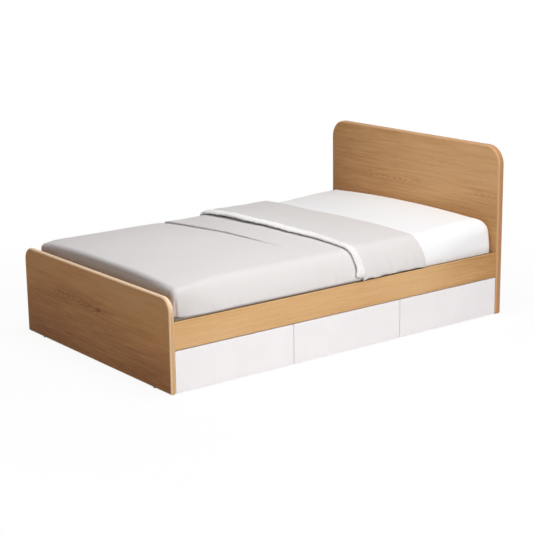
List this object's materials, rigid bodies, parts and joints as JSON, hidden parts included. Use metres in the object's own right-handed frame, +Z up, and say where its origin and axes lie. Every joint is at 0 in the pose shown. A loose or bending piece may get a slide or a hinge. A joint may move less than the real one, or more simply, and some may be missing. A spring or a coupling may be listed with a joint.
{
  "type": "cabinet bed",
  "caption": "Bed with rounded oak end boards, a rail over handleless white drawers, a slatted deck, a mattress and a grey quilt turned back near the head.",
  "frame": {"origin": "on the floor, under the middle of the space between the end boards", "axes": "+Z up, +Y along the bed towards the headboard, +X the way the drawers open"},
  "size_m": [1.26, 1.972, 0.845],
  "materials": {
    "oak": "satin oiled oak veneer with horizontal grain",
    "carcass_board": "pale melamine-faced board",
    "slat_wood": "planed softwood",
    "white_lacquer": "white satin lacquer",
    "drawer_board": "pale foil-wrapped board",
    "runner_steel": "zinc-plated sheet",
    "latch_plastic": "grey moulded plastic",
    "plunger_plastic": "white moulded plastic",
    "hardware_steel": "zinc-plated steel",
    "glide_plastic": "pale moulded plastic",
    "mattress_fabric": "white fitted cotton sheet over foam",
    "quilt_fabric": "pale grey brushed cotton",
    "hem_fabric": "white padded cotton hem"
  },
  "bodies": {
    "bed_frame": {"headboard": "oak", "footboard": "oak", "right_rail": "oak", "left_panel": "oak", "foot_divider": "carcass_board", "head_divider": "carcass_board", "foot_bay_back": "carcass_board", "middle_bay_back": "carcass_board", "head_bay_back": "carcass_board", "slat_01": "slat_wood", "slat_02": "slat_wood", "slat_03": "slat_wood", "slat_04": "slat_wood", "slat_05": "slat_wood", "slat_06": "slat_wood", "slat_07": "slat_wood", "slat_08": "slat_wood", "slat_09": "slat_wood", "slat_10": "slat_wood", "slat_11": "slat_wood", "slat_12": "slat_wood", "right_cleat": "slat_wood", "left_cleat": "slat_wood", "foot_runner_outer": "runner_steel", "middle_runner_outer": "runner_steel", "head_runner_outer": "runner_steel", "foot_latch_body": "latch_plastic", "middle_latch_body": "latch_plastic", "head_latch_body": "latch_plastic", "corner_brackets": "hardware_steel", "bracket_screws": "hardware_steel", "cleat_screws": "hardware_steel", "floor_glides": "glide_plastic", "mattress": "mattress_fabric", "quilt": "quilt_fabric", "quilt_hem": "hem_fabric"},
    "foot_drawer": {"foot_drawer_foot_side": "drawer_board", "foot_drawer_head_side": "drawer_board", "foot_drawer_back": "drawer_board", "foot_drawer_bottom": "drawer_board", "foot_drawer_front": "white_lacquer", "foot_runner_inner": "runner_steel"},
    "foot_runner_pair": {"foot_runner_middle": "runner_steel"},
    "foot_plunger": {"foot_latch_plunger": "plunger_plastic"},
    "middle_drawer": {"middle_drawer_foot_side": "drawer_board", "middle_drawer_head_side": "drawer_board", "middle_drawer_back": "drawer_board", "middle_drawer_bottom": "drawer_board", "middle_drawer_front": "white_lacquer", "middle_runner_inner": "runner_steel"},
    "middle_runner_pair": {"middle_runner_middle": "runner_steel"},
    "middle_plunger": {"middle_latch_plunger": "plunger_plastic"},
    "head_drawer": {"head_drawer_foot_side": "drawer_board", "head_drawer_head_side": "drawer_board", "head_drawer_back": "drawer_board", "head_drawer_bottom": "drawer_board", "head_drawer_front": "white_lacquer", "head_runner_inner": "runner_steel"},
    "head_runner_pair": {"head_runner_middle": "runner_steel"},
    "head_plunger": {"head_latch_plunger": "plunger_plastic"}
  },
  "joints": [
    {"name": "foot_drawer_slide", "type": "slide", "parent": "bed_frame", "child": "foot_drawer", "axis": [1, 0, 0], "range_m": [0, 0.5]},
    {"name": "foot_runner_slide", "type": "slide", "parent": "bed_frame", "child": "foot_runner_pair", "axis": [1, 0, 0], "range_m": [0, 0.25]},
    {"name": "foot_plunger_press", "type": "slide", "parent": "bed_frame", "child": "foot_plunger", "axis": [1, 0, 0], "range_m": [-0.004, 0], "stiffness_N_per_m": 1500, "springref_m": 0.006},
    {"name": "middle_drawer_slide", "type": "slide", "parent": "bed_frame", "child": "middle_drawer", "axis": [1, 0, 0], "range_m": [0, 0.5]},
    {"name": "middle_runner_slide", "type": "slide", "parent": "bed_frame", "child": "middle_runner_pair", "axis": [1, 0, 0], "range_m": [0, 0.25]},
    {"name": "middle_plunger_press", "type": "slide", "parent": "bed_frame", "child": "middle_plunger", "axis": [1, 0, 0], "range_m": [-0.004, 0], "stiffness_N_per_m": 1500, "springref_m": 0.006},
    {"name": "head_drawer_slide", "type": "slide", "parent": "bed_frame", "child": "head_drawer", "axis": [1, 0, 0], "range_m": [0, 0.5]},
    {"name": "head_runner_slide", "type": "slide", "parent": "bed_frame", "child": "head_runner_pair", "axis": [1, 0, 0], "range_m": [0, 0.25]},
    {"name": "head_plunger_press", "type": "slide", "parent": "bed_frame", "child": "head_plunger", "axis": [1, 0, 0], "range_m": [-0.004, 0], "stiffness_N_per_m": 1500, "springref_m": 0.006}
  ],
  "couplings": [
    {"joint": "foot_runner_slide", "follows": "foot_drawer_slide", "ratio": 0.5},
    {"joint": "middle_runner_slide", "follows": "middle_drawer_slide", "ratio": 0.5},
    {"joint": "head_runner_slide", "follows": "head_drawer_slide", "ratio": 0.5}
  ]
}
